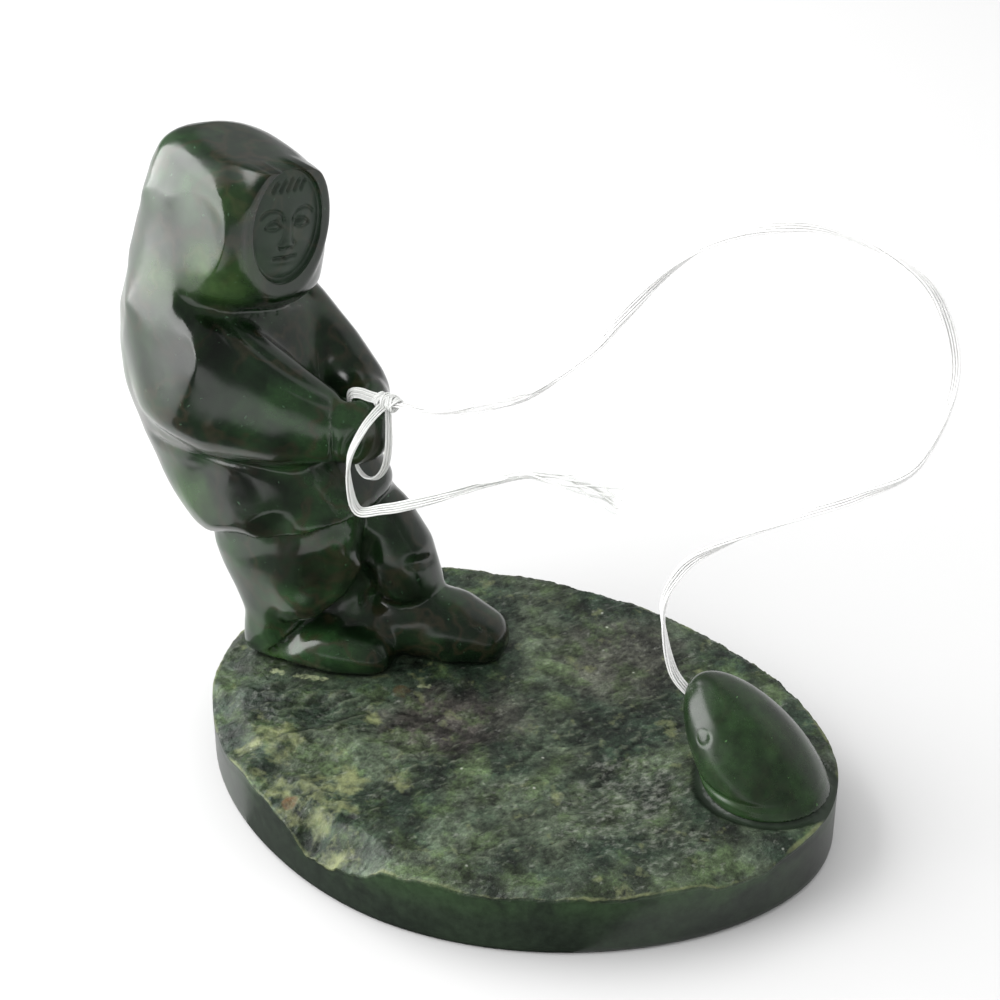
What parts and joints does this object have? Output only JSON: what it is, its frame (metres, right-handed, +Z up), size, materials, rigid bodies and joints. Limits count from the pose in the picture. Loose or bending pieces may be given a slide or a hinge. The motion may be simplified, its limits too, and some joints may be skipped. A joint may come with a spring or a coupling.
{
  "type": "jade hunter carving",
  "caption": "Carved green nephrite hunter in a hooded parka on an egg-shaped slab, holding a waxed sinew line to a polished seal's head.",
  "frame": {"origin": "middle of the slab's underside", "axes": "+X along the slab from the hunter to the seal, +Y to the hunter's left, +Z up"},
  "size_m": [0.1288, 0.0768, 0.1007],
  "materials": {
    "split_nephrite": "split rough top with a satin ground wall",
    "dark_nephrite": "polished",
    "green_nephrite": "highly polished",
    "waxed_sinew": "waxed strands"
  },
  "bodies": {
    "root": {"slab": "split_nephrite", "hunter": "dark_nephrite", "seal": "green_nephrite", "line": "waxed_sinew", "sling": "waxed_sinew", "tail": "waxed_sinew", "knot": "waxed_sinew"}
  },
  "joints": []
}
